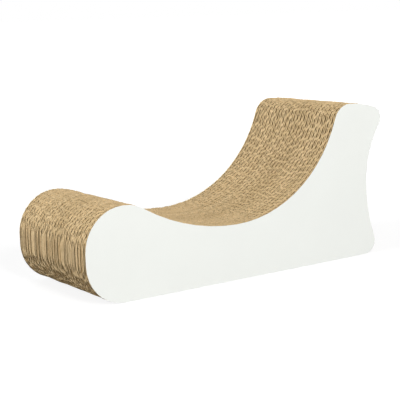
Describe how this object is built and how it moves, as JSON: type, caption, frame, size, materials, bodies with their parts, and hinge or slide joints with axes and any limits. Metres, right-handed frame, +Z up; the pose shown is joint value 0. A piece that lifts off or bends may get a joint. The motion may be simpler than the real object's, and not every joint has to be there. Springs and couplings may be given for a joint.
{
  "type": "cardboard cat scratcher",
  "caption": "Lounger-shaped cat scratcher of upright corrugated cardboard boards glued face to face, with a low nose roll, a dished seat, a raised back and white side faces.",
  "frame": {"origin": "middle of the footprint, on the floor", "axes": "+X from the nose roll to the raised back, +Y across the boards from the face seen in the picture to the far one, +Z up"},
  "size_m": [0.456, 0.1688, 0.2061],
  "materials": {
    "kraft_board": "raw cut edges of brown kraft corrugated board, matt",
    "cover_board": "raw cut edges of brown kraft corrugated board, matt",
    "white_face": "smooth white coated paper, matt"
  },
  "bodies": {
    "root": {"near_face_sheet": "white_face", "near_cover_board": "cover_board", "core_board_01": "kraft_board", "core_board_02": "kraft_board", "core_board_03": "kraft_board", "core_board_04": "kraft_board", "core_board_05": "kraft_board", "core_board_06": "kraft_board", "core_board_07": "kraft_board", "core_board_08": "kraft_board", "core_board_09": "kraft_board", "core_board_10": "kraft_board", "core_board_11": "kraft_board", "core_board_12": "kraft_board", "core_board_13": "kraft_board", "core_board_14": "kraft_board", "core_board_15": "kraft_board", "core_board_16": "kraft_board", "core_board_17": "kraft_board", "core_board_18": "kraft_board", "core_board_19": "kraft_board", "core_board_20": "kraft_board", "core_board_21": "kraft_board", "core_board_22": "kraft_board", "far_cover_board": "cover_board", "far_face_sheet": "white_face"}
  },
  "joints": []
}
